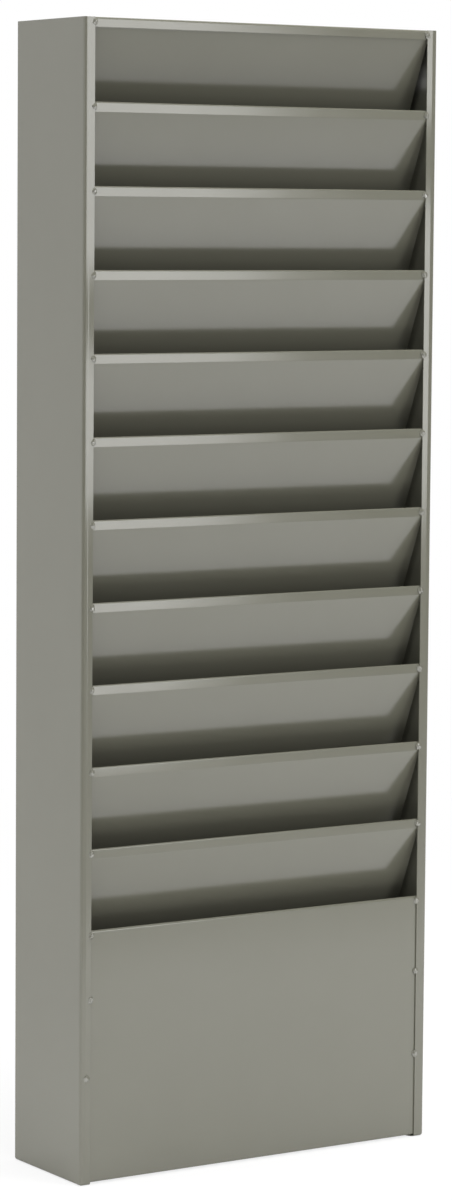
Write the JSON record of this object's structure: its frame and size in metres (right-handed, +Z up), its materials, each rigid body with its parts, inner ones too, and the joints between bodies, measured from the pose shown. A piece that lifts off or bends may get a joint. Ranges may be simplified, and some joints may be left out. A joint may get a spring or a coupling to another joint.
{
  "type": "medical chart rack",
  "caption": "Tall shallow wall rack of bent, welded and powder-coated sheet steel, with stacked sloping pockets that hold letter-size charts upright and in view.",
  "frame": {"origin": "middle of the base, on the plane that the rack stands on", "axes": "+Z up, the open front faces -Y, +Y towards the wall, +X to the right as seen from the front"},
  "size_m": [0.3334, 0.1048, 0.9144],
  "materials": {
    "powder_coat": "warm olive-grey powder coat, semi-gloss, with a faint orange-peel texture",
    "painted_weld": "tack weld under the same olive-grey powder coat"
  },
  "bodies": {
    "root": {"left_side_panel": "powder_coat", "right_side_panel": "powder_coat", "back_panel": "powder_coat", "top_cap": "powder_coat", "divider_01": "powder_coat", "divider_02": "powder_coat", "divider_03": "powder_coat", "divider_04": "powder_coat", "divider_05": "powder_coat", "divider_06": "powder_coat", "divider_07": "powder_coat", "divider_08": "powder_coat", "divider_09": "powder_coat", "divider_10": "powder_coat", "divider_11": "powder_coat", "lower_front_panel": "powder_coat", "tack_weld_left_01": "painted_weld", "tack_weld_left_02": "painted_weld", "tack_weld_left_03": "painted_weld", "tack_weld_left_04": "painted_weld", "tack_weld_left_05": "painted_weld", "tack_weld_left_06": "painted_weld", "tack_weld_left_07": "painted_weld", "tack_weld_left_08": "painted_weld", "tack_weld_left_09": "painted_weld", "tack_weld_left_10": "painted_weld", "tack_weld_left_11": "painted_weld", "tack_weld_left_12": "painted_weld", "tack_weld_right_01": "painted_weld", "tack_weld_right_02": "painted_weld", "tack_weld_right_03": "painted_weld", "tack_weld_right_04": "painted_weld", "tack_weld_right_05": "painted_weld", "tack_weld_right_06": "painted_weld", "tack_weld_right_07": "painted_weld", "tack_weld_right_08": "painted_weld", "tack_weld_right_09": "painted_weld", "tack_weld_right_10": "painted_weld", "tack_weld_right_11": "painted_weld", "tack_weld_right_12": "painted_weld", "panel_tack_weld_left_01": "painted_weld", "panel_tack_weld_left_02": "painted_weld", "panel_tack_weld_right_01": "painted_weld", "panel_tack_weld_right_02": "painted_weld"}
  },
  "joints": []
}
